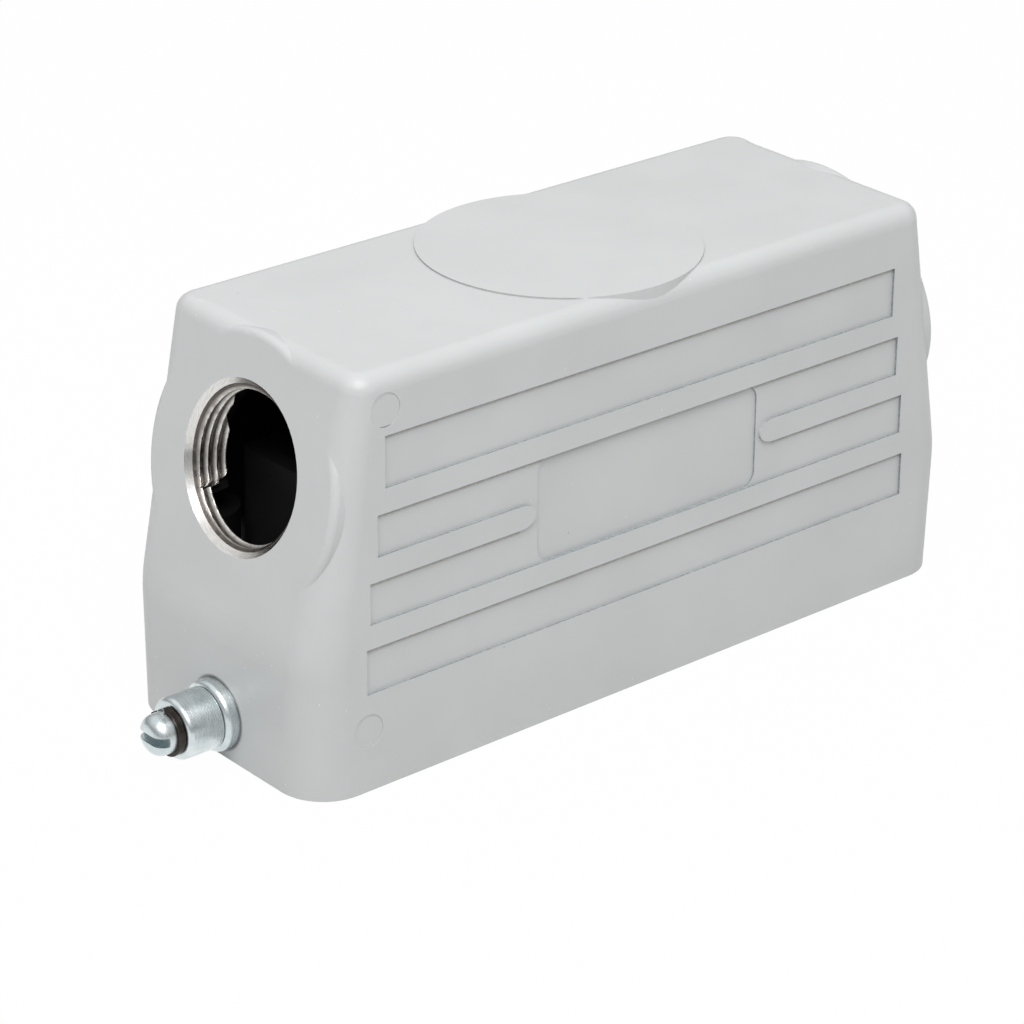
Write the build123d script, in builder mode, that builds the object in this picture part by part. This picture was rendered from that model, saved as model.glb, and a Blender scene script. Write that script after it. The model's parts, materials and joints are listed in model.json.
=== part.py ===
from build123d import *
from math import cos, radians, sin, tan
import os

os.makedirs("parts", exist_ok=True)

# Heavy duty rectangular connector: a die-cast hood with a side cable entry and two
# locking pegs, holding a 24-pole screw-terminal insert.
# Millimetres. The rim stands on z = 0, the length runs along X, the origin is the rim's centre.

# Contact insert
poles_per_row = 12
pole_pitch = 7.0
row_spacing = 14.4
well_size = 5.6
well_floor = 20.0
insert_end_wall = 2.0
insert_side_wall = 5.5
insert_top = 36.0
insert_corner_radius = 1.2
shroud_foot = 4.5
shroud_wall = 1.8
shroud_setback_x = 1.0
shroud_setback_y = 2.0
block_drop = 1.5
tongue_length = 3.5
tongue_width = 24.0
tongue_thickness = 2.0

# Contacts and their screws
pin_radius = 1.25
pin_foot = 6.5
pin_tip_chamfer = 0.6
contact_shank_radius = 1.7
contact_clearance = 0.1
terminal_height = 13.0
wire_hole_radius = 1.5
wire_hole_depth = 9.0
terminal_screw_radius = 1.45
terminal_screw_reach = 1.2
terminal_head_radius = 2.0
terminal_head_length = 1.6
terminal_head_gap = 1.0
terminal_head_room = 0.3
terminal_slot_width = 0.7
terminal_slot_depth = 0.7

# Earth brackets and fasteners
seat_height = 18.0
bracket_reach = 8.0
bracket_thickness = 1.5
bracket_side_gap = 1.6
bracket_end_gap = 0.8
bracket_inner_gap = 0.3
bracket_corner_radius = 3.0
blade_width = 6.0
blade_foot = 6.0
blade_gap = 0.4
blade_bend_radius = 0.8
earth_screw_tail = 1.9
screw_radius = 2.0
screw_clearance = 0.1
fixing_length = 9.0
screw_head_radius = 3.6
screw_head_height = 2.4
screw_slot_width = 1.0
screw_slot_depth = 1.1
clamp_size = 7.4
clamp_thickness = 1.2

# Posts that carry the insert
post_spacing_y = 27.0
post_radius = 5.2
post_hole_spare = 2.5
post_cover = 2.0

# Hood, outside
wall = 3.0
end_room = 8.0
side_room = 2.7
wiring_room = 20.2
kink_height = 19.5
end_taper = 11.4
side_draft = 0.87
rim_corner_radius = 7.2
top_corner_radius = 3.4
top_edge_radius = 2.6
kink_blend = 2.2

# Round pads, flush with the ends and just proud of the top
end_pad_radius = 19.85
end_pad_height = 40.2
end_pad_depth = 9.0
top_pad_radius = 20.1
top_pad_rise = 0.25
top_pad_depth = 6.0
pad_rounding = 1.0

# Cable entry, square to the sloping end at -X
entry_rise = 1.0
entry_radius = 11.25
entry_chamfer = 0.8
entry_block_depth = 6.4
entry_block_foot = 33.7

# Recessed bands and the bare label field on both long sides, a little off the middle
band_depth = 0.45
band_shift = 0.6
band_reach = 50.3
band_taper = 8.1
band_foot = 14.3
lower_band_height = 6.6
middle_band_height = 6.0
upper_band_height = 7.4
ridge_height = 3.45
ridge_gap = 0.5
ridge_tip_length = 2.6
label_depth = 0.3
label_half_length = 20.4
label_corner_radius = 2.2

# Marks that the mould's ejector pins left near the end of a long side
ejector_mark_radius = 2.4
ejector_mark_depth = 0.1
upper_mark_reach = 47.4
upper_mark_rise = 3.55
lower_mark_reach = 50.7
lower_mark_drop = 5.3

# Locking peg: a turned pin, a loose roller sleeve and a snap ring
peg_height = 6.2
shank_radius = 2.4
shank_clearance = 0.03
peened_head_radius = 3.6
peened_head_thickness = 0.9
collar_radius = 5.1
collar_thickness = 2.05
collar_rounding = 0.8
journal_radius = 2.95
roller_clearance = 0.05
roller_radius = 4.4
roller_length = 5.6
roller_end_play = 0.1
roller_rounding = 0.7
ring_thickness = 0.9
ring_radius = 3.5
ring_gap = 3.2
ring_gap_turn = 33.0
ring_clearance = 0.05
groove_depth = 0.7
tip_length = 2.85
tip_rounding = 1.8
tip_slot_width = 1.35
tip_slot_depth = 1.5

# Sizes worked out from the ones above
row_y = row_spacing / 2
insert_length = poles_per_row * pole_pitch + 2 * insert_end_wall
insert_width = row_spacing + well_size + 2 * insert_side_wall
shroud_length = insert_length - 2 * shroud_setback_x
shroud_width = insert_width - 2 * shroud_setback_y
contact_size = well_size - 2 * contact_clearance
terminal_screw_height = well_floor + terminal_height / 2
post_spacing_x = insert_length + 2 * bracket_reach
bracket_foot = seat_height - bracket_thickness
recess_floor = bracket_foot - block_drop
post_hole_depth = fixing_length - bracket_thickness + post_hole_spare
hood_length = post_spacing_x + 2 * end_room
hood_width = insert_width + 2 * (side_room + wall)
hood_height = insert_top + wiring_room + wall
half_rim = hood_length / 2
inner_face = half_rim - wall
bracket_end = inner_face - bracket_end_gap
bracket_width = hood_width - 2 * (wall + bracket_side_gap)
end_angle = radians(end_taper)
draft_angle = radians(side_draft)
entry_height = end_pad_height + entry_rise
lower_band_top = band_foot + lower_band_height
middle_foot = lower_band_top + ridge_height
ridge_foot = middle_foot + middle_band_height
ridge_top = ridge_foot + ridge_height
middle_top = ridge_top + middle_band_height
upper_band_foot = middle_top + ridge_height
upper_band_top = upper_band_foot + upper_band_height
ridge_start = label_half_length + ridge_gap + ridge_tip_length
upper_mark_height = upper_band_top + upper_mark_rise
lower_mark_height = band_foot - lower_mark_drop
collar_edge = half_rim + collar_thickness
roller_start = collar_edge + roller_end_play
roller_end = roller_start + roller_length
ring_start = roller_end + roller_end_play
ring_end = ring_start + ring_thickness
peg_end = ring_end + ring_clearance + tip_length
groove_radius = journal_radius - groove_depth


def half_length_at(z):
    """Half of the hood's length at a height, straight below the kink and sloping above it."""
    reach = min(max(z - kink_height + kink_blend, 0), 2 * kink_blend)
    blended = reach**2 / (4 * kink_blend)
    sloping = max(z - kink_height - kink_blend, 0)
    return half_rim - (blended + sloping) * tan(end_angle)


def half_width_at(z):
    """Half of the hood's width at a height, drawn in by the sides' draft."""
    return hood_width / 2 - z * tan(draft_angle)


def corner_radius_at(z):
    """The plan radius of the hood's upright corners."""
    return rim_corner_radius + (top_corner_radius - rim_corner_radius) * z / hood_height


def end_plane(side, z):
    """A plane in the hood's sloping end, facing outward, with its own Y going up the slope."""
    outward = (side * cos(end_angle), 0, sin(end_angle))
    return Plane(origin=(side * half_length_at(z), 0, z), x_dir=(0, side, 0), z_dir=outward)


def side_plane(side):
    """A plane in one long side, facing outward, with its own Y going up the side."""
    outward = (0, side * cos(draft_angle), sin(draft_angle))
    return Plane(origin=(0, side * hood_width / 2, 0), x_dir=(-side, 0, 0), z_dir=outward)


def peg_plane(side):
    """The upright plane through a peg's axis, with its own X going outward."""
    return Plane(origin=(0, 0, peg_height), x_dir=(side, 0, 0), z_dir=(0, -side, 0))


def cross_plane(side, x):
    """A plane across a peg's axis, facing outward."""
    return Plane(origin=(side * x, 0, peg_height), x_dir=(0, side, 0), z_dir=(side, 0, 0))


def band_length_at(foot):
    """The length of the recessed band that starts at a height."""
    return 2 * (band_reach - max(foot - kink_height, 0) * tan(radians(band_taper)))


# Round pads, the places for other cable entries
with BuildPart() as pads:
    for side in (-1, 1):
        with BuildSketch(end_plane(side, end_pad_height)):
            Circle(end_pad_radius)
        extrude(amount=-end_pad_depth)
    with BuildSketch(Plane.XY.offset(hood_height + top_pad_rise)):
        Circle(top_pad_radius)
    extrude(amount=-top_pad_depth)
    pad_rims = pads.edges().sort_by_distance((0, 0, hood_height / 2))
    fillet(pad_rims.filter_by(GeomType.CIRCLE)[-3:], pad_rounding)

# Hollow of the hood: all but its walls, its four posts and the thick end round the cable entry
roof = hood_height - wall
with BuildPart() as hollow:
    hollow_levels = [0, kink_height - kink_blend, kink_height + kink_blend, roof]
    for low, high in zip(hollow_levels, hollow_levels[1:]):
        for z in (low, high):
            with BuildSketch(Plane.XY.offset(z)):
                RectangleRounded(
                    2 * (half_length_at(z) - wall),
                    2 * (half_width_at(z) - wall),
                    corner_radius_at(z) - wall,
                )
        loft(ruled=True)
    with BuildSketch(Plane.XY.offset(seat_height)):
        with GridLocations(post_spacing_x, post_spacing_y, 2, 2):
            Circle(post_radius)
    extrude(amount=post_hole_depth + post_cover, mode=Mode.SUBTRACT)
    with BuildSketch(Plane.XZ):
        block_depth = entry_block_depth / cos(end_angle)
        Polygon(
            (-half_rim, entry_block_foot),
            (block_depth - half_length_at(entry_block_foot), entry_block_foot),
            (block_depth - half_length_at(roof), roof),
            (-half_rim, roof),
            align=None,
        )
    extrude(amount=hood_width / 2, both=True, mode=Mode.SUBTRACT)

# Hood, cast in one piece
with BuildPart() as hood:
    blend_levels = [kink_height + kink_blend * step / 2 for step in range(-2, 3)]
    for levels in ([0, blend_levels[0]], blend_levels, [blend_levels[-1], hood_height]):
        for z in levels:
            with BuildSketch(Plane.XY.offset(z)):
                RectangleRounded(2 * half_length_at(z), 2 * half_width_at(z), corner_radius_at(z))
        loft(ruled=len(levels) == 2)
    fillet(hood.faces().sort_by(Axis.Z)[-1].edges(), top_edge_radius)

    add(pads.part)
    add(hollow.part, mode=Mode.SUBTRACT)

    # Blind holes for the fixing screws
    with BuildSketch(Plane.XY.offset(seat_height)):
        with GridLocations(post_spacing_x, post_spacing_y, 2, 2):
            Circle(screw_radius + screw_clearance)
    extrude(amount=post_hole_depth, mode=Mode.SUBTRACT)

    # Cable entry
    with BuildSketch(end_plane(-1, entry_height)):
        Circle(entry_radius)
    extrude(amount=-(entry_block_depth + wall), mode=Mode.SUBTRACT)
    with BuildSketch(end_plane(-1, entry_height)):
        Circle(entry_radius + entry_chamfer)
    extrude(amount=-entry_chamfer, taper=45, mode=Mode.SUBTRACT)

    # Holes for the pegs
    for side in (-1, 1):
        with BuildSketch(cross_plane(side, half_rim)):
            Circle(shank_radius + shank_clearance)
        extrude(amount=-2 * wall, mode=Mode.SUBTRACT)

    # Recessed bands, the short ridges between the middle ones, the label field and ejector marks
    ridge_middle = (ridge_foot + ridge_top) / 2
    for side in (-1, 1):
        with BuildSketch(side_plane(side)):
            for foot, top in (
                (band_foot, lower_band_top),
                (middle_foot, ridge_foot),
                (ridge_top, middle_top),
                (upper_band_foot, upper_band_top),
            ):
                with Locations((side * band_shift, (foot + top) / 2)):
                    Rectangle(band_length_at(foot), top - foot)
            with Locations((side * band_shift, ridge_middle)):
                Rectangle(2 * ridge_start, ridge_height)
                with GridLocations(2 * ridge_start, 1, 2, 1):
                    Ellipse(ridge_tip_length, ridge_height / 2, mode=Mode.SUBTRACT)
        extrude(amount=-band_depth, mode=Mode.SUBTRACT)
        with BuildSketch(side_plane(side)):
            with Locations((side * band_shift, (middle_foot + middle_top) / 2)):
                RectangleRounded(2 * label_half_length, middle_top - middle_foot, label_corner_radius)
        extrude(amount=-(band_depth + label_depth), mode=Mode.SUBTRACT)
        with BuildSketch(side_plane(side)):
            with Locations((side * upper_mark_reach, upper_mark_height)):
                Circle(ejector_mark_radius)
            with Locations((side * lower_mark_reach, lower_mark_height)):
                Circle(ejector_mark_radius)
        extrude(amount=-ejector_mark_depth, mode=Mode.SUBTRACT)
hood.part.label = "hood"
export_step(hood.part, "parts/hood.step")


# Locking pegs, one in each end
for side, name in ((-1, "left"), (1, "right")):
    with BuildPart() as lever_pin:
        with BuildSketch(peg_plane(side)) as pin_profile:
            with BuildLine():
                Polyline(
                    (inner_face - peened_head_thickness, 0),
                    (inner_face - peened_head_thickness, peened_head_radius),
                    (inner_face, peened_head_radius),
                    (inner_face, shank_radius),
                    (half_rim, shank_radius),
                    (half_rim, collar_radius),
                    (collar_edge, collar_radius),
                    (collar_edge, journal_radius),
                    (ring_start - ring_clearance, journal_radius),
                    (ring_start - ring_clearance, groove_radius),
                    (ring_end + ring_clearance, groove_radius),
                    (ring_end + ring_clearance, journal_radius),
                    (peg_end, journal_radius),
                    (peg_end, 0),
                    close=True,
                )
            make_face()
            corners = pin_profile.vertices()
            fillet(corners.sort_by_distance((collar_edge, collar_radius))[0], collar_rounding)
            corners = pin_profile.vertices()
            fillet(corners.sort_by_distance((peg_end, journal_radius))[0], tip_rounding)
        revolve(axis=Axis((0, 0, peg_height), (1, 0, 0)))
        with BuildSketch(cross_plane(side, peg_end)):
            Rectangle(3 * journal_radius, tip_slot_width)
        extrude(amount=-tip_slot_depth, mode=Mode.SUBTRACT)
    lever_pin.part.label = f"lever_pin_{name}"
    export_step(lever_pin.part, f"parts/lever_pin_{name}.step")

    with BuildPart() as lever_roller:
        with BuildSketch(cross_plane(side, roller_start)):
            Circle(roller_radius)
            Circle(journal_radius + roller_clearance, mode=Mode.SUBTRACT)
        extrude(amount=roller_length)
        outer_edges = lever_roller.edges().filter_by(GeomType.CIRCLE).group_by(SortBy.RADIUS)[-1]
        fillet(outer_edges.sort_by_distance((side * roller_end, 0, peg_height))[0], roller_rounding)
    lever_roller.part.label = f"lever_roller_{name}"
    export_step(lever_roller.part, f"parts/lever_roller_{name}.step")

    with BuildPart() as snap_ring:
        with BuildSketch(cross_plane(side, ring_start)):
            Circle(ring_radius)
            Circle(groove_radius + ring_clearance, mode=Mode.SUBTRACT)
            with PolarLocations(ring_radius / 2, 1, start_angle=90 - side * ring_gap_turn):
                Rectangle(ring_radius, ring_gap, align=(Align.MIN, Align.CENTER), mode=Mode.SUBTRACT)
        extrude(amount=ring_thickness)
    snap_ring.part.label = f"snap_ring_{name}"
    export_step(snap_ring.part, f"parts/snap_ring_{name}.step")


# Insert body, moulded: terminal block above, open shroud round the pins below
with BuildPart() as insert_body:
    with BuildSketch(Plane.XY.offset(recess_floor)):
        RectangleRounded(insert_length, insert_width, insert_corner_radius)
    extrude(amount=insert_top - recess_floor)
    with BuildSketch(Plane.XY.offset(shroud_foot)):
        RectangleRounded(shroud_length, shroud_width, insert_corner_radius)
        Rectangle(shroud_length - 2 * shroud_wall, shroud_width - 2 * shroud_wall, mode=Mode.SUBTRACT)
    extrude(amount=recess_floor - shroud_foot)
    tongue_x = (insert_length + tongue_length) / 2
    with BuildSketch(Plane.XY.offset(bracket_foot - tongue_thickness)):
        with Locations((-tongue_x, 0), (tongue_x, 0)):
            Rectangle(tongue_length, tongue_width)
    extrude(amount=tongue_thickness)
    with BuildSketch(Plane.XY.offset(well_floor)):
        with GridLocations(pole_pitch, row_spacing, poles_per_row, 2):
            Rectangle(well_size, well_size)
    extrude(amount=insert_top - well_floor, mode=Mode.SUBTRACT)
    with BuildSketch(Plane.XY.offset(recess_floor)):
        with GridLocations(pole_pitch, row_spacing, poles_per_row, 2):
            Circle(contact_shank_radius + contact_clearance)
    extrude(amount=well_floor - recess_floor, mode=Mode.SUBTRACT)
    for side in (-1, 1):
        screw_wall = Plane((0, side * insert_width / 2, terminal_screw_height), (-side, 0, 0), (0, side, 0))
        with BuildSketch(screw_wall):
            with GridLocations(pole_pitch, 1, poles_per_row, 1):
                Circle(terminal_head_radius + terminal_head_room)
        extrude(amount=-insert_side_wall, mode=Mode.SUBTRACT)
insert_body.part.label = "insert_body"
export_step(insert_body.part, "parts/insert_body.step")


# Contacts: a turned pin below, a square screw terminal above
number = 0
for side in (-1, 1):
    for column in range(poles_per_row):
        number += 1
        x = (column - (poles_per_row - 1) / 2) * pole_pitch
        y = side * row_y
        with BuildPart() as contact:
            with BuildSketch(Plane((x, y, 0), (1, 0, 0), (0, -1, 0))):
                with BuildLine():
                    Polyline(
                        (0, pin_foot),
                        (pin_radius - pin_tip_chamfer, pin_foot),
                        (pin_radius, pin_foot + 2 * pin_tip_chamfer),
                        (pin_radius, recess_floor),
                        (contact_shank_radius, recess_floor),
                        (contact_shank_radius, well_floor),
                        (0, well_floor),
                        close=True,
                    )
                make_face()
            revolve(axis=Axis((x, y, 0), (0, 0, 1)))
            with BuildSketch(Plane.XY.offset(well_floor)):
                with Locations((x, y)):
                    Rectangle(contact_size, contact_size)
            extrude(amount=terminal_height)
            with BuildSketch(Plane.XY.offset(well_floor + terminal_height)):
                with Locations((x, y)):
                    Circle(wire_hole_radius)
            extrude(amount=-wire_hole_depth, mode=Mode.SUBTRACT)
            outer_face = Plane((x, y + side * contact_size / 2, terminal_screw_height), (-side, 0, 0), (0, side, 0))
            with BuildSketch(outer_face):
                Circle(terminal_screw_radius + screw_clearance)
            extrude(amount=-contact_size / 2, mode=Mode.SUBTRACT)
        contact.part.label = f"contact_{number:02d}"
        export_step(contact.part, f"parts/contact_{number:02d}.step")


# Terminal screws, one in each contact, backed out ready for a wire
with BuildPart() as terminal_screws:
    for side in (-1, 1):
        head_seat = side * (row_y + contact_size / 2 + terminal_head_gap)
        head_plane = Plane((0, head_seat, terminal_screw_height), (-side, 0, 0), (0, side, 0))
        with BuildSketch(head_plane):
            with GridLocations(pole_pitch, 1, poles_per_row, 1):
                Circle(terminal_screw_radius)
        extrude(amount=-(terminal_head_gap + terminal_screw_reach))
        with BuildSketch(head_plane):
            with GridLocations(pole_pitch, 1, poles_per_row, 1):
                Circle(terminal_head_radius)
        extrude(amount=terminal_head_length)
        with BuildSketch(head_plane.offset(terminal_head_length)):
            with GridLocations(pole_pitch, 1, poles_per_row, 1):
                Rectangle(2.5 * terminal_head_radius, terminal_slot_width)
        extrude(amount=-terminal_slot_depth, mode=Mode.SUBTRACT)
terminal_screws.part.label = "terminal_screws"
export_step(terminal_screws.part, "parts/terminal_screws.step")


# Earth brackets, stamped and bent, with their clamping screws
for side, name in ((-1, "left"), (1, "right")):
    bracket_start = insert_length / 2 + bracket_inner_gap
    plate_x = side * (bracket_start + bracket_end) / 2
    screw_x = side * (bracket_end - clamp_size / 2)
    blade_x = screw_x - side * (screw_radius + blade_gap + bracket_thickness / 2)
    with BuildPart() as earth_bracket:
        with BuildSketch(Plane.XY.offset(bracket_foot)) as plate:
            with Locations((plate_x, 0)):
                Rectangle(bracket_end - bracket_start, bracket_width)
            outer_corners = plate.vertices().group_by(Axis.X)[-1 if side > 0 else 0]
            fillet(outer_corners, bracket_corner_radius)
            with GridLocations(post_spacing_x, post_spacing_y, 2, 2):
                Circle(screw_radius + screw_clearance, mode=Mode.SUBTRACT)
            with Locations((screw_x, 0)):
                Circle(screw_radius + screw_clearance, mode=Mode.SUBTRACT)
        extrude(amount=bracket_thickness)
        with BuildSketch(Plane.XY.offset(blade_foot)):
            with Locations((blade_x, 0)):
                Rectangle(bracket_thickness, blade_width)
        extrude(amount=bracket_foot - blade_foot)
        bend = earth_bracket.edges().filter_by(Axis.Y).filter_by_position(
            Axis.Z, bracket_foot - 0.01, bracket_foot + 0.01
        )
        bend = bend.filter_by(lambda edge: abs(edge.length - blade_width) < 0.01)
        fillet(bend.sort_by_distance((side * insert_length / 2, 0, bracket_foot))[0], blade_bend_radius)
    earth_bracket.part.label = f"earth_bracket_{name}"
    export_step(earth_bracket.part, f"parts/earth_bracket_{name}.step")

    with BuildPart() as earth_clamp:
        with BuildSketch(Plane.XY.offset(seat_height)):
            with Locations((screw_x, 0)):
                Rectangle(clamp_size, clamp_size)
                Circle(screw_radius + screw_clearance, mode=Mode.SUBTRACT)
        extrude(amount=clamp_thickness)
    earth_clamp.part.label = f"earth_clamp_{name}"
    export_step(earth_clamp.part, f"parts/earth_clamp_{name}.step")

    clamp_top = seat_height + clamp_thickness
    with BuildPart() as earth_screw:
        with BuildSketch(Plane.XY.offset(clamp_top)):
            with Locations((screw_x, 0)):
                Circle(screw_radius)
        extrude(amount=-(clamp_thickness + bracket_thickness + earth_screw_tail))
        with BuildSketch(Plane.XY.offset(clamp_top)):
            with Locations((screw_x, 0)):
                Circle(screw_head_radius)
        extrude(amount=screw_head_height)
        with BuildSketch(Plane.XY.offset(clamp_top + screw_head_height)):
            with Locations((screw_x, 0)):
                Rectangle(screw_slot_width, 2.5 * screw_head_radius)
        extrude(amount=-screw_slot_depth, mode=Mode.SUBTRACT)
    earth_screw.part.label = f"earth_screw_{name}"
    export_step(earth_screw.part, f"parts/earth_screw_{name}.step")


# Fixing screws, from the mating side up into the posts
corner_places = [(x, y) for x in (-1, 1) for y in (-1, 1)]
for number, (side_x, side_y) in enumerate(corner_places, start=1):
    place = (side_x * post_spacing_x / 2, side_y * post_spacing_y / 2)
    with BuildPart() as fixing_screw:
        with BuildSketch(Plane.XY.offset(bracket_foot)):
            with Locations(place):
                Circle(screw_radius)
        extrude(amount=fixing_length)
        with BuildSketch(Plane.XY.offset(bracket_foot)):
            with Locations(place):
                Circle(screw_head_radius)
        extrude(amount=-screw_head_height)
        with BuildSketch(Plane.XY.offset(bracket_foot - screw_head_height)):
            with Locations(place):
                Rectangle(screw_slot_width, 2.5 * screw_head_radius)
        extrude(amount=screw_slot_depth, mode=Mode.SUBTRACT)
    fixing_screw.part.label = f"fixing_screw_{number}"
    export_step(fixing_screw.part, f"parts/fixing_screw_{number}.step")
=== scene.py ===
import json
from math import cos, pi, radians, sin, tan

import bmesh
import bpy
from mathutils import Matrix, Vector


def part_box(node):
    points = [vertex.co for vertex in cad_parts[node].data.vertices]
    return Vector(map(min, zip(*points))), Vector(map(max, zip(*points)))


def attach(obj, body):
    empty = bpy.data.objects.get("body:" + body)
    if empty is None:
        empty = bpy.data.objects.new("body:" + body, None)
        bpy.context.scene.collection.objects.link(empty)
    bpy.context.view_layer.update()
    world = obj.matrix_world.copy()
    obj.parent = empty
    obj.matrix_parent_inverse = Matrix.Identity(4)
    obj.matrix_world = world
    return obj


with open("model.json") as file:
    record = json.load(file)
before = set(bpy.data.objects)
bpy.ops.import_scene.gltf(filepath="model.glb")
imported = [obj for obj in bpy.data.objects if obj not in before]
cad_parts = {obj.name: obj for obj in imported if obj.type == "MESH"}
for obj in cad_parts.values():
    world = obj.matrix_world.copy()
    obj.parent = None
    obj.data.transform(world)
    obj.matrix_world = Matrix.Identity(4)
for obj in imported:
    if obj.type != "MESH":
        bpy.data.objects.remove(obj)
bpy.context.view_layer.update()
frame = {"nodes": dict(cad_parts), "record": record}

# Looks of the heavy duty rectangular connector: powder-coated hood with a bare threaded entry,
# zinc-plated locking pegs, black insert with silver-plated pins. Metres, in the model's frame.

MM = 0.001
nodes = frame["nodes"]
mounts = {mount["name"]: mount for mount in frame["record"]["mounts"]}

# Camera, as fitted to the photo's edges
IMAGE_SIDE = 1024
FOCAL_PIXELS = 3727.28
PRINCIPAL_POINT = (474.4, 498.2)
CAMERA_AZIMUTH = radians(-40.533)
CAMERA_ELEVATION = radians(24.971)
CAMERA_ROLL = radians(0.674)
CAMERA_DISTANCE = 0.54127
AIM_OFFSET = (0.01107, -0.01863)
SENSOR = 36.0

# Hood
hood_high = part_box("hood")[1]
WALL = 3.0 * MM
ROOF = 56.2 * MM
KINK_HEIGHT = 19.5 * MM
END_SLOPE = tan(radians(11.4))
SIDE_SLOPE = tan(radians(0.87))
BAND_MIDDLE = -0.6 * MM
BAND_TOPS = (20.9 * MM, 30.35 * MM, 39.8 * MM, 50.65 * MM)
BAND_CENTRE = 32.5 * MM
BAND_HALF_HEIGHT = 19.5 * MM
BAND_END_AT_RIM = 52.5 * MM
BAND_END_SPREAD = 0.064
BAND_WALL_MIDDLE = 0.225 * MM
LABEL_WALL_MIDDLE = 0.6 * MM
RIDGE_TIP = 20.9 * MM
RIDGE_START = 23.5 * MM
RIDGE_MIDDLE = 32.075 * MM
TOP_PAD_RADIUS = 20.1 * MM
PEG_HEIGHT = 6.2 * MM
COLLAR_RADIUS = 5.1 * MM
SLOT_FLOOR_REACH = 70.1 * MM
SLOT_HALF_WIDTH = 0.66 * MM

# Cable entry. The mount's stretch starts just below the chamfer.
entry = mounts["cable_entry"]
ENTRY_AXIS = Vector(entry["axis"]).normalized()
ENTRY_RADIUS = entry["dims"]["r_mm"] * MM
ENTRY_CHAMFER = 0.8 * MM
ENTRY_FACE = Vector(entry["pos_m"]) + ENTRY_AXIS * (entry["dims"]["length_mm"] / 2 + 0.82) * MM
ENTRY_WALL = 2.9 * MM
ENTRY_BLOCK = 6.35 * MM
ENTRY_BLOCK_FOOT = 33.8 * MM
ENTRY_BLOCK_ROUNDING = 3.3 * MM
ENTRY_BLOCK_TAPER = 0.3
THREAD_PITCH = 1.5 * MM
THREAD_DEPTH = 0.8 * MM
FIRST_CREST = 1.4 * MM

PAINT = (0.478, 0.489, 0.491)
# Painted shade on the band walls, and painted shadow lines under the bands' upper edges
BAND_WALL_PAINTED_SHADE = (0.2, 0.23, 0.24)
BAND_EDGE_PAINTED_SHADOW = (0.33, 0.31, 0.285)
# Painted shade inside the hood: near black from 24 mm up, graded from 17 mm; lower inside walls keep
# plain greys
INSIDE_PAINTED_SHADE = (0.005, 0.005, 0.005)
INSIDE_GREYS = ((0.2, 0.203, 0.205), (0.25, 0.253, 0.255))
INSIDE_SHADE_HEIGHTS = (17 * MM, 24 * MM)
CHAMFER_GREYS = ((0.55, 0.54, 0.52), (0.86, 0.85, 0.83))
# Painted shade on the floors of the pegs' screwdriver slots
SLOT_SHADE_GREYS = ((0.17, 0.235, 0.25), (0.36, 0.43, 0.45))


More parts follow.
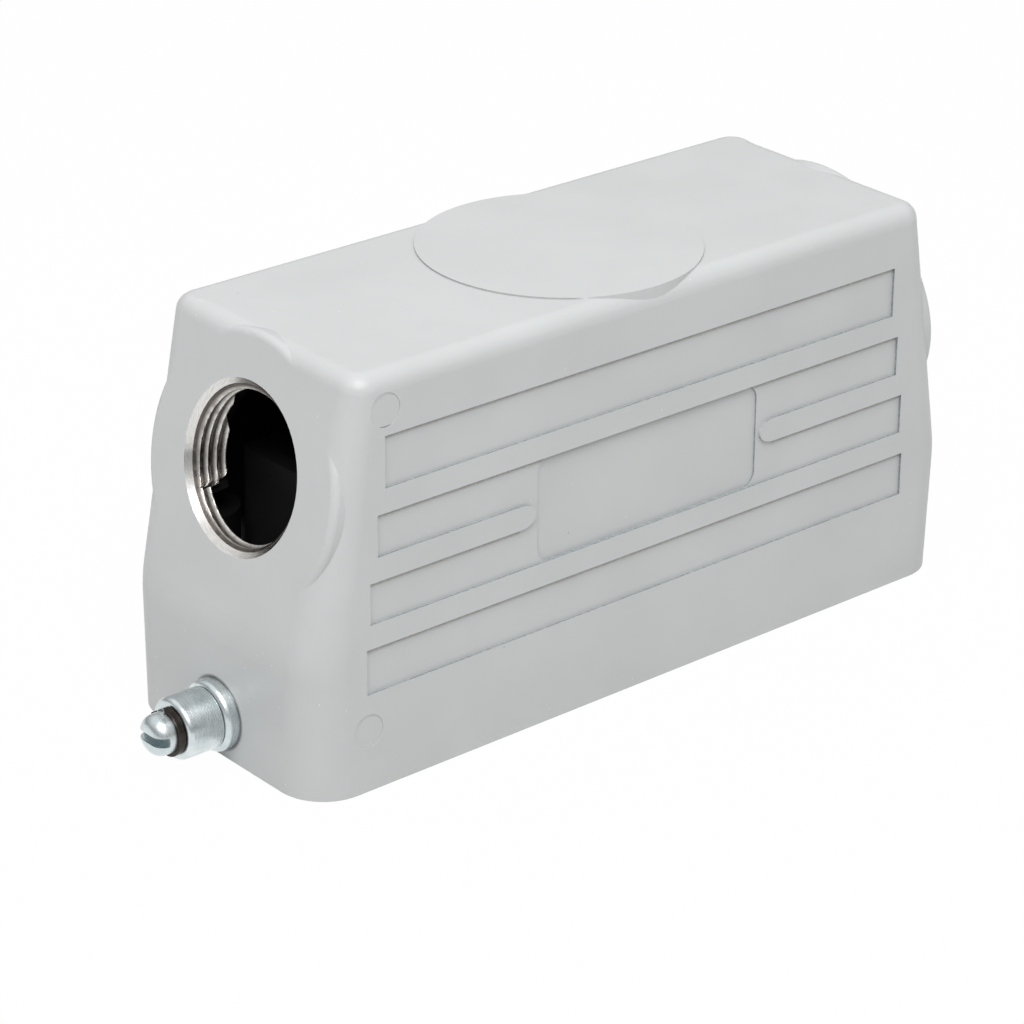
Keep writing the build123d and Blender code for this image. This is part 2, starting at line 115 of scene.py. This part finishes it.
class Shader:
    """A material's node tree, with short calls for the nodes that the materials share."""

    def __init__(self, name):
        self.material = bpy.data.materials.new(name)
        self.material.use_nodes = True
        self.tree = self.material.node_tree
        self.surface = self.tree.nodes["Principled BSDF"]
        self.place = self.add("ShaderNodeTexCoord").outputs["Object"]

    def add(self, kind, **settings):
        node = self.tree.nodes.new(kind)
        for key, value in settings.items():
            setattr(node, key, value)
        return node

    def plug(self, source, socket):
        """Links an output to a socket, or writes a plain value into it."""
        if isinstance(source, bpy.types.NodeSocket):
            self.tree.links.new(source, socket)
        else:
            socket.default_value = source

    def maths(self, operation, *values):
        node = self.add("ShaderNodeMath", operation=operation)
        for socket, value in zip(node.inputs, values):
            self.plug(value, socket)
        return node.outputs[0]

    def noise(self, scale, detail=2.0, place=None):
        node = self.add("ShaderNodeTexNoise")
        node.inputs["Scale"].default_value = scale
        node.inputs["Detail"].default_value = detail
        self.plug(place or self.place, node.inputs["Vector"])
        return node.outputs["Fac"]

    def split(self):
        """The place's three coordinates."""
        node = self.add("ShaderNodeSeparateXYZ")
        self.plug(self.place, node.inputs[0])
        return node.outputs

    def stretched(self, scale):
        """The place on the surface, stretched by a factor along each axis."""
        node = self.add("ShaderNodeMapping")
        self.plug(self.place, node.inputs["Vector"])
        node.inputs["Scale"].default_value = scale
        return node.outputs["Vector"]

    def fit(self, value, low, high, new_low=0.0, new_high=1.0):
        node = self.add("ShaderNodeMapRange")
        self.plug(value, node.inputs["Value"])
        for socket, number in zip(list(node.inputs)[1:5], (low, high, new_low, new_high)):
            socket.default_value = number
        return node.outputs["Result"]

    def blend(self, share, first, second):
        """A colour between two others."""
        node = self.add("ShaderNodeMix", data_type="RGBA")
        self.plug(share, node.inputs["Factor"])
        for name, colour in (("A", first), ("B", second)):
            socket = [s for s in node.inputs if s.name == name and s.type == "RGBA"][0]
            self.plug(colour if isinstance(colour, bpy.types.NodeSocket) else (*colour, 1), socket)
        return [s for s in node.outputs if s.type == "RGBA"][0]

    def distance(self, first, second):
        """The length of two offsets at right angles."""
        squares = [self.maths("POWER", offset, 2.0) for offset in (first, second)]
        return self.maths("SQRT", self.maths("ADD", *squares))

    def mix_value(self, share, first, second):
        node = self.add("ShaderNodeMix", data_type="FLOAT")
        self.plug(share, node.inputs["Factor"])
        self.plug(first, node.inputs["A"])
        self.plug(second, node.inputs["B"])
        return node.outputs["Result"]

    def bump(self, height, distance, strength=1.0, under=None):
        node = self.add("ShaderNodeBump")
        node.inputs["Strength"].default_value = strength
        node.inputs["Distance"].default_value = distance
        self.plug(height, node.inputs["Height"])
        if under is not None:
            self.plug(under, node.inputs["Normal"])
        return node.outputs["Normal"]

    def spots(self, scale, radius, share, seed=0.0):
        """1 inside small round spots in some of the cells of a grid of that scale."""
        cells = self.add("ShaderNodeTexVoronoi", feature="F1")
        moved = self.add("ShaderNodeMapping")
        self.plug(self.place, moved.inputs["Vector"])
        moved.inputs["Location"].default_value = (seed, seed, seed)
        self.plug(moved.outputs["Vector"], cells.inputs["Vector"])
        cells.inputs["Scale"].default_value = scale
        near = self.fit(cells.outputs["Distance"], radius * 0.6, radius, 1, 0)
        red = self.add("ShaderNodeSeparateColor")
        self.plug(cells.outputs["Color"], red.inputs["Color"])
        picked = self.maths("LESS_THAN", red.outputs["Red"], share)
        return self.maths("MULTIPLY", near, picked)

    def finish(self, **inputs):
        for name, value in inputs.items():
            socket = self.surface.inputs[name.replace("_", " ").title().replace("Ior", "IOR")]
            if isinstance(value, tuple) and len(value) == 3:
                value = (*value, 1)
            self.plug(value, socket)
        return self.material


def hood_reaches(shader):
    """How far the place lies toward the hood's sloping ends and drafted sides, as if at the rim."""
    x, y, z = shader.split()
    above_kink = shader.maths("MAXIMUM", shader.maths("SUBTRACT", z, KINK_HEIGHT), 0.0)
    end_reach = shader.maths("MULTIPLY_ADD", above_kink, END_SLOPE, shader.maths("ABSOLUTE", x))
    side_reach = shader.maths("MULTIPLY_ADD", z, SIDE_SLOPE, shader.maths("ABSOLUTE", y))
    return end_reach, side_reach


def hood_inside(shader):
    """1 on the hood's inner surfaces, worked out from the place."""
    z = shader.split()[2]
    skin = 0.35 * MM
    end_reach, side_reach = hood_reaches(shader)
    inside_ends = shader.maths("LESS_THAN", end_reach, hood_high.x - WALL + skin)
    inside_sides = shader.maths("LESS_THAN", side_reach, hood_high.y - WALL + skin)
    below_roof = shader.maths("LESS_THAN", z, ROOF + skin)
    return shader.maths("MULTIPLY", shader.maths("MULTIPLY", inside_ends, inside_sides), below_roof)


def band_painted_shade(shader):
    """Shares of painted shade on the recessed bands' walls, and of the painted shadow line under
    each band's upper edge.
    """
    x, _, z = shader.split()
    end_reach, side_reach = hood_reaches(shader)
    depth = shader.maths("SUBTRACT", hood_high.y, side_reach)
    band_wall = shader.maths("COMPARE", depth, BAND_WALL_MIDDLE, 0.18 * MM)
    label_wall = shader.maths("COMPARE", depth, LABEL_WALL_MIDDLE, 0.12 * MM)
    flat_end = shader.maths("MULTIPLY_ADD", z, BAND_END_SPREAD, BAND_END_AT_RIM)
    flat_part = shader.maths("LESS_THAN", end_reach, flat_end)
    in_height = shader.maths("COMPARE", z, BAND_CENTRE, BAND_HALF_HEIGHT)
    flat_part = shader.maths("MULTIPLY", flat_part, in_height)
    wall_shade_share = shader.maths("MULTIPLY", shader.maths("ADD", band_wall, label_wall), flat_part)
    from_middle = shader.maths("ABSOLUTE", shader.maths("SUBTRACT", x, BAND_MIDDLE))
    past_tip = shader.maths("GREATER_THAN", from_middle, RIDGE_START)
    at_tip = shader.maths("GREATER_THAN", from_middle, RIDGE_TIP - 0.3 * MM)
    at_tip = shader.maths("MULTIPLY", at_tip, shader.maths("COMPARE", z, RIDGE_MIDDLE, 1.9 * MM))
    faded = shader.fit(from_middle, RIDGE_TIP, RIDGE_TIP + 1.6 * MM, 0.1, 1)
    wall_shade_share = shader.maths("MULTIPLY", wall_shade_share, shader.mix_value(at_tip, 1.0, faded))
    # Painted shadow lines just under each band's upper edge
    under = 0.0
    for top in BAND_TOPS:
        near = shader.fit(z, top - 0.8 * MM, top - 0.35 * MM)
        near = shader.maths("MULTIPLY", near, shader.maths("LESS_THAN", z, top))
        if top == BAND_TOPS[1]:
            near = shader.maths("MULTIPLY", near, past_tip)
        under = shader.maths("MAXIMUM", under, near)
    recessed = shader.maths("COMPARE", depth, 0.7 * MM, 0.27 * MM)
    recessed = shader.maths("MULTIPLY", flat_part, recessed)
    return wall_shade_share, shader.maths("MULTIPLY", under, recessed)


def slot_floor(shader):
    """1 on the floors of the screwdriver slots in the locking pegs' tips."""
    x, _, z = shader.split()
    deep = shader.maths("COMPARE", shader.maths("ABSOLUTE", x), SLOT_FLOOR_REACH, 0.12 * MM)
    return shader.maths("MULTIPLY", deep, shader.maths("COMPARE", z, PEG_HEIGHT, SLOT_HALF_WIDTH))


def collar_contact_shadow(shader):
    """1 on the hood in a narrow ring round a locking peg's collar, where a contact shadow is
    painted.
    """
    x, y, z = shader.split()
    away = shader.distance(y, shader.maths("SUBTRACT", z, PEG_HEIGHT))
    near = shader.fit(away, COLLAR_RADIUS + 0.1 * MM, COLLAR_RADIUS + 0.5 * MM, 1, 0)
    on_end = shader.maths("GREATER_THAN", shader.maths("ABSOLUTE", x), hood_high.x - 0.3 * MM)
    return shader.maths("MULTIPLY", near, on_end)


def flat_pad_rim(shader):
    """The surface's normal, turned upward where the coating fills the top pad's low step."""
    x, y, z = shader.split()
    ring = shader.maths("COMPARE", shader.distance(x, y), TOP_PAD_RADIUS - 0.4 * MM, 1.0 * MM)
    on_top = shader.maths("GREATER_THAN", z, hood_high.z - 0.6 * MM)
    inner = shader.fit(shader.maths("ABSOLUTE", y), 16.5 * MM, 18.2 * MM, 0.7, 0)
    share = shader.maths("MULTIPLY", shader.maths("MULTIPLY", ring, on_top), inner)
    mixed = shader.add("ShaderNodeMix", data_type="VECTOR")
    shader.plug(share, mixed.inputs["Factor"])
    vectors = [s for s in mixed.inputs if s.type == "VECTOR" and s.name in ("A", "B")]
    shader.plug(shader.add("ShaderNodeNewGeometry").outputs["Normal"], vectors[0])
    vectors[1].default_value = (0, 0, 1)
    return [s for s in mixed.outputs if s.type == "VECTOR"][0]


def entry_reach(shader):
    """The place's distance from the cable entry's axis, and how far it lies out along the axis."""
    away = shader.add("ShaderNodeVectorMath", operation="SUBTRACT")
    shader.plug(shader.place, away.inputs[0])
    away.inputs[1].default_value = ENTRY_FACE
    along = shader.add("ShaderNodeVectorMath", operation="DOT_PRODUCT")
    shader.plug(away.outputs["Vector"], along.inputs[0])
    along.inputs[1].default_value = ENTRY_AXIS
    across = shader.add("ShaderNodeVectorMath", operation="CROSS_PRODUCT")
    shader.plug(away.outputs["Vector"], across.inputs[0])
    across.inputs[1].default_value = ENTRY_AXIS
    length = shader.add("ShaderNodeVectorMath", operation="LENGTH")
    shader.plug(across.outputs["Vector"], length.inputs[0])
    return length.outputs["Value"], along.outputs["Value"]


def powder_coat():
    """Light grey powder coat: fine orange peel, faint mottling, a few dark specks, painted glints,
    and painted shade on the band walls, under the band edges, round the peg collars and high inside.
    """
    shader = Shader("powder_coat")
    mottle = shader.fit(shader.noise(60, 3), 0.35, 0.65)
    colour = shader.blend(mottle, tuple(c * 0.975 for c in PAINT), tuple(c * 1.02 for c in PAINT))
    wall_shade_share, edge_shadow_share = band_painted_shade(shader)
    patchy = shader.fit(shader.noise(1800, 3), 0.35, 0.6, 0.55, 1)
    # Painted shade: the band walls are darkened bluish-grey, less so at the ridge tips
    colour = shader.blend(shader.maths("MULTIPLY", wall_shade_share, patchy), colour, BAND_WALL_PAINTED_SHADE)
    # Painted shadow: a brownish dark line under each band's upper edge
    colour = shader.blend(shader.maths("MULTIPLY", edge_shadow_share, patchy), colour, BAND_EDGE_PAINTED_SHADOW)
    # Painted contact shadow, nearly black, round each peg's collar
    collar_shadow_share = shader.maths("MULTIPLY", collar_contact_shadow(shader), 0.85)
    colour = shader.blend(collar_shadow_share, colour, (0.06, 0.06, 0.06))
    dark = shader.spots(330, 0.06, 0.03, 0.3)
    # Painted glints: a few tiny near-white spots stand in for sparkling highlights
    light = shader.spots(900, 0.12, 0.02, 0.7)
    colour = shader.blend(shader.maths("MULTIPLY", dark, 0.4), colour, (0.16, 0.15, 0.14))
    colour = shader.blend(shader.maths("MULTIPLY", light, 0.35), colour, (0.9, 0.9, 0.9))
    inside = hood_inside(shader)
    # Painted shade: the inside turns near black higher up, where little light reaches
    deep = shader.fit(shader.split()[2], *INSIDE_SHADE_HEIGHTS)
    bare_wall = shader.blend(mottle, *INSIDE_GREYS)
    colour = shader.blend(inside, colour, shader.blend(deep, bare_wall, INSIDE_PAINTED_SHADE))
    distance, along = entry_reach(shader)
    near_rim = shader.maths("LESS_THAN", distance, ENTRY_RADIUS + ENTRY_CHAMFER + 0.02 * MM)
    chamfer = shader.maths("GREATER_THAN", along, -1.1 * MM)
    bare = shader.maths("MULTIPLY", near_rim, chamfer)
    turned = shader.noise(1.0, 1, shader.stretched((9000, 900, 900)))
    colour = shader.blend(bare, colour, shader.blend(turned, *CHAMFER_GREYS))
    peel = shader.noise(1900, 2.5)
    grain = shader.noise(6000, 2)
    rough = shader.fit(peel, 0.3, 0.7, 0.36, 0.46)
    rough = shader.mix_value(inside, rough, 0.8)
    rough = shader.mix_value(bare, rough, 0.24)
    height = shader.maths("MULTIPLY_ADD", grain, 0.35, peel)
    normal = shader.bump(height, 0.02 * MM, 0.62, flat_pad_rim(shader))
    shader.plug(shader.mix_value(inside, 0.5, 0.05), shader.surface.inputs["Specular IOR Level"])
    return shader.finish(base_color=colour, roughness=rough, metallic=bare, normal=normal)


def plated(name, low, high, stretch, roughness, marks=0.012, slotted=False):
    """Bright plating over tool marks and fine crystals, with painted shade on the floor of a peg's
    screwdriver slot.
    """
    shader = Shader(name)
    lines = shader.noise(1.0, 3, shader.stretched(stretch))
    cloud = shader.noise(420, 3)
    crystals = shader.noise(7000, 1)
    colour = shader.blend(shader.fit(cloud, 0.3, 0.7), low, high)
    rough = shader.fit(lines, 0.25, 0.75, roughness - 0.06, roughness + 0.08)
    height = shader.maths("MULTIPLY_ADD", crystals, 0.4, lines)
    normal = shader.bump(height, marks * MM, 0.6)
    if slotted:
        # Painted shade: the slot floor is dark teal-grey
        slot_shade = shader.blend(shader.fit(crystals, 0.4, 0.6), *SLOT_SHADE_GREYS)
        colour = shader.blend(slot_floor(shader), colour, slot_shade)
    return shader.finish(base_color=colour, roughness=rough, metallic=1.0, normal=normal)


def moulded(name, colour, roughness):
    """Moulded plastic: fine spark-eroded texture and slight variation."""
    shader = Shader(name)
    cloud = shader.fit(shader.noise(90, 3), 0.3, 0.7)
    tint = shader.blend(cloud, tuple(c * 0.8 for c in colour), tuple(c * 1.2 for c in colour))
    texture = shader.noise(3600, 2)
    rough = shader.fit(texture, 0.3, 0.7, roughness - 0.06, roughness + 0.06)
    normal = shader.bump(texture, 0.012 * MM, 0.5)
    return shader.finish(base_color=tint, roughness=rough, normal=normal)


def machined():
    """Bare cut aluminium alloy of the thread, stained, with painted shade darkening its roots."""
    shader = Shader("machined_thread")
    distance, along = entry_reach(shader)
    unshaded_crest = shader.fit(distance, ENTRY_RADIUS - THREAD_DEPTH, ENTRY_RADIUS - 0.35 * MM, 1, 0)
    stain = shader.noise(1100, 4)
    # Painted shade: the thread's roots are near black and its crests bright
    colour = shader.blend(unshaded_crest, (0.1, 0.09, 0.083), (0.78, 0.76, 0.73))
    colour = shader.blend(shader.fit(stain, 0.45, 0.7, 0, 0.55), colour, (0.2, 0.17, 0.145))
    rough = shader.fit(stain, 0.3, 0.7, 0.24, 0.4)
    normal = shader.bump(shader.noise(5200, 3), 0.04 * MM, 0.7)
    return shader.finish(base_color=colour, roughness=rough, metallic=1.0, normal=normal)


def dress(material, *names):
    """Gives CAD nodes a material."""
    for name in names:
        mesh = nodes[name].data
        mesh.materials.clear()
        mesh.materials.append(material)


def piece(name, mesh_maker, material):
    """A new mesh piece that rides on the hood's body."""
    mesh = bpy.data.meshes.new(name)
    builder = bmesh.new()
    mesh_maker(builder)
    bmesh.ops.recalc_face_normals(builder, faces=builder.faces)
    builder.to_mesh(mesh)
    builder.free()
    mesh.shade_smooth()
    mesh.set_sharp_from_angle(angle=radians(35))
    mesh.materials.append(material)
    item = bpy.data.objects.new(name, mesh)
    bpy.context.scene.collection.objects.link(item)
    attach(item, "hood")
    return item


def thread_ridges(builder):
    """A closed sleeve in the cable entry whose inner face carries the helical ridges."""
    around = 180
    rows = 56
    start = ENTRY_CHAMFER + 0.02 * MM
    back_radius = ENTRY_RADIUS - 0.01 * MM
    side_axis = Vector((0, 1, 0))
    up_axis = ENTRY_AXIS.cross(side_axis)

    def place(radius, angle, depth):
        outward = side_axis * cos(angle) + up_axis * sin(angle)
        return ENTRY_FACE - ENTRY_AXIS * depth + outward * radius

    def wall_depth(angle):
        """How deep the thread reaches: least below the thick part's foot, and less higher up."""
        rise = (place(back_radius, angle, ENTRY_BLOCK).z - ENTRY_BLOCK_FOOT) / ENTRY_BLOCK_ROUNDING
        rise = min(max(rise, 0), 1)
        above_axis = max(up_axis.z * sin(angle), 0) * back_radius
        most = ENTRY_BLOCK - ENTRY_BLOCK_TAPER * above_axis
        return ENTRY_WALL + (most - ENTRY_WALL) * (1 - (1 - rise) ** 2) ** 0.5

    def ridge_radius(angle, depth):
        phase = ((depth - FIRST_CREST) / THREAD_PITCH + angle / (2 * pi)) % 1.0
        from_crest = 2 * min(phase, 1 - phase)
        rise = min(max((0.88 - from_crest) / 0.76, 0), 1)
        cone = ENTRY_RADIUS + ENTRY_CHAMFER - depth
        return min(max(back_radius - THREAD_DEPTH * rise, cone), back_radius) - 0.04 * MM

    columns = []
    for step in range(around):
        angle = 2 * pi * step / around
        end = wall_depth(angle)
        column = [place(back_radius, angle, start)]
        for row in range(rows + 1):
            depth = start + (end - start) * row / rows
            column.append(place(ridge_radius(angle, depth), angle, depth))
        column.append(place(back_radius, angle, end))
        columns.append([builder.verts.new(point) for point in column])
    for first, second in zip(columns, columns[1:] + columns[:1]):
        for low in range(len(first)):
            high = (low + 1) % len(first)
            builder.faces.new((first[low], first[high], second[high], second[low]))


def make_camera():
    """Puts the camera where the photo was taken from."""
    azimuth, elevation = CAMERA_AZIMUTH, CAMERA_ELEVATION
    back = Vector((sin(azimuth) * cos(elevation), -cos(azimuth) * cos(elevation), sin(elevation)))
    level = Vector((cos(azimuth), sin(azimuth), 0))
    raised = back.cross(level)
    right = level * cos(CAMERA_ROLL) + raised * sin(CAMERA_ROLL)
    up = raised * cos(CAMERA_ROLL) - level * sin(CAMERA_ROLL)
    data = bpy.data.cameras.new("camera")
    data.sensor_width = SENSOR
    data.lens = FOCAL_PIXELS / IMAGE_SIDE * SENSOR
    data.shift_x = (IMAGE_SIDE / 2 - PRINCIPAL_POINT[0]) / IMAGE_SIDE
    data.shift_y = (PRINCIPAL_POINT[1] - IMAGE_SIDE / 2) / IMAGE_SIDE
    data.clip_start = 0.01
    camera = bpy.data.objects.new("camera", data)
    place = back * CAMERA_DISTANCE - right * AIM_OFFSET[0] - up * AIM_OFFSET[1]
    camera.matrix_world = Matrix.Translation(place) @ Matrix((right, up, back)).transposed().to_4x4()
    bpy.context.scene.collection.objects.link(camera)
    bpy.context.scene.camera = camera


def area_light(name, place, size, power, aim=(0, 0, 0.03)):
    data = bpy.data.lights.new(name, "AREA")
    data.shape = "DISK"
    data.size = size
    data.energy = power
    light = bpy.data.objects.new(name, data)
    light.location = place
    light.rotation_euler = (Vector(place) - Vector(aim)).to_track_quat("Z", "Y").to_euler()
    bpy.context.scene.collection.objects.link(light)


def seen_directly(tree):
    """1 for rays that come from the camera or that metal or glass sent on."""
    path = tree.nodes.new("ShaderNodeLightPath")
    total = path.outputs["Is Camera Ray"]
    for name in ("Is Glossy Ray", "Is Transmission Ray"):
        larger = tree.nodes.new("ShaderNodeMath")
        larger.operation = "MAXIMUM"
        tree.links.new(total, larger.inputs[0])
        tree.links.new(path.outputs[name], larger.inputs[1])
        total = larger.outputs[0]
    return path.outputs["Is Camera Ray"], total


def make_world():
    """A soft sky, dim at the horizon and bright above, that is plain white behind the object."""
    world = bpy.data.worlds.new("studio")
    bpy.context.scene.world = world
    world.use_nodes = True
    tree = world.node_tree
    background = tree.nodes["Background"]
    place = tree.nodes.new("ShaderNodeTexCoord")
    split = tree.nodes.new("ShaderNodeSeparateXYZ")
    tree.links.new(place.outputs["Generated"], split.inputs[0])
    ramp = tree.nodes.new("ShaderNodeMapRange")
    ramp.interpolation_type = "SMOOTHSTEP"
    tree.links.new(split.outputs["Z"], ramp.inputs["Value"])
    for socket, number in zip(list(ramp.inputs)[1:5], (0.05, 0.75, 0.3, 0.96)):
        socket.default_value = number
    camera_ray, _ = seen_directly(tree)
    white = tree.nodes.new("ShaderNodeMix")
    white.data_type = "FLOAT"
    tree.links.new(camera_ray, white.inputs["Factor"])
    tree.links.new(ramp.outputs["Result"], white.inputs["A"])
    white.inputs["B"].default_value = 1.0
    tree.links.new(white.outputs["Result"], background.inputs["Strength"])
    background.inputs["Color"].default_value = (1, 1, 1, 1)


def make_floor():
    """A wide pale floor that looks white, takes the object's shadow and is clear from below."""
    mesh = bpy.data.meshes.new("floor")
    builder = bmesh.new()
    bmesh.ops.create_grid(builder, x_segments=8, y_segments=8, size=3.0)
    builder.to_mesh(mesh)
    builder.free()
    material = bpy.data.materials.new("floor")
    material.use_nodes = True
    tree = material.node_tree
    surface = tree.nodes["Principled BSDF"]
    surface.inputs["Base Color"].default_value = (0.6, 0.6, 0.6, 1)
    surface.inputs["Roughness"].default_value = 0.9
    glow = tree.nodes.new("ShaderNodeEmission")
    mixed = tree.nodes.new("ShaderNodeMixShader")
    _, direct = seen_directly(tree)
    share = tree.nodes.new("ShaderNodeMath")
    share.operation = "MULTIPLY"
    share.inputs[1].default_value = 0.98
    tree.links.new(direct, share.inputs[0])
    tree.links.new(share.outputs[0], mixed.inputs["Fac"])
    tree.links.new(surface.outputs[0], mixed.inputs[1])
    tree.links.new(glow.outputs[0], mixed.inputs[2])
    sides = tree.nodes.new("ShaderNodeMixShader")
    geometry = tree.nodes.new("ShaderNodeNewGeometry")
    tree.links.new(geometry.outputs["Backfacing"], sides.inputs["Fac"])
    tree.links.new(mixed.outputs[0], sides.inputs[1])
    tree.links.new(tree.nodes.new("ShaderNodeBsdfTransparent").outputs[0], sides.inputs[2])
    tree.links.new(sides.outputs[0], tree.nodes["Material Output"].inputs["Surface"])
    mesh.materials.append(material)
    floor = bpy.data.objects.new("floor", mesh)
    floor.location.z = -0.05 * MM
    bpy.context.scene.collection.objects.link(floor)


coat = powder_coat()
dress(coat, "hood")
zinc_low, zinc_high = (0.55, 0.62, 0.64), (0.76, 0.81, 0.815)
peg_zinc = plated("turned_zinc", zinc_low, zinc_high, (12000, 500, 500), 0.28, 0.03, slotted=True)
roller_zinc = plated("roller_zinc", zinc_low, zinc_high, (7000, 300, 300), 0.27, 0.03)
sheet_zinc = plated("stamped_zinc", zinc_low, zinc_high, (900, 900, 900), 0.34)
screw_zinc = plated("screw_zinc", zinc_low, zinc_high, (2500, 2500, 9000), 0.3)
ring_low, ring_high = (0.03, 0.025, 0.023), (0.075, 0.062, 0.055)
ring_steel = plated("snap_ring_steel", ring_low, ring_high, (1500, 1500, 1500), 0.36)
silver = plated("silver_plate", (0.78, 0.76, 0.71), (0.9, 0.88, 0.84), (900, 900, 9000), 0.28)
black_moulding = moulded("insert_moulding", (0.013, 0.013, 0.014), 0.5)

for side in ("left", "right"):
    dress(peg_zinc, f"lever_pin_{side}")
    dress(roller_zinc, f"lever_roller_{side}")
    dress(ring_steel, f"snap_ring_{side}")
    dress(sheet_zinc, f"earth_bracket_{side}", f"earth_clamp_{side}")
    dress(screw_zinc, f"earth_screw_{side}")
dress(screw_zinc, "terminal_screws", *(name for name in nodes if name.startswith("fixing_screw")))
dress(silver, *(name for name in nodes if name.startswith("contact_")))
dress(black_moulding, "insert_body")

piece("entry_thread", thread_ridges, machined())

make_floor()
make_world()
area_light("top_softbox", (-0.3, -0.34, 0.72), 0.55, 5.3)
make_camera()

view = bpy.context.scene.view_settings
view.view_transform = "Standard"
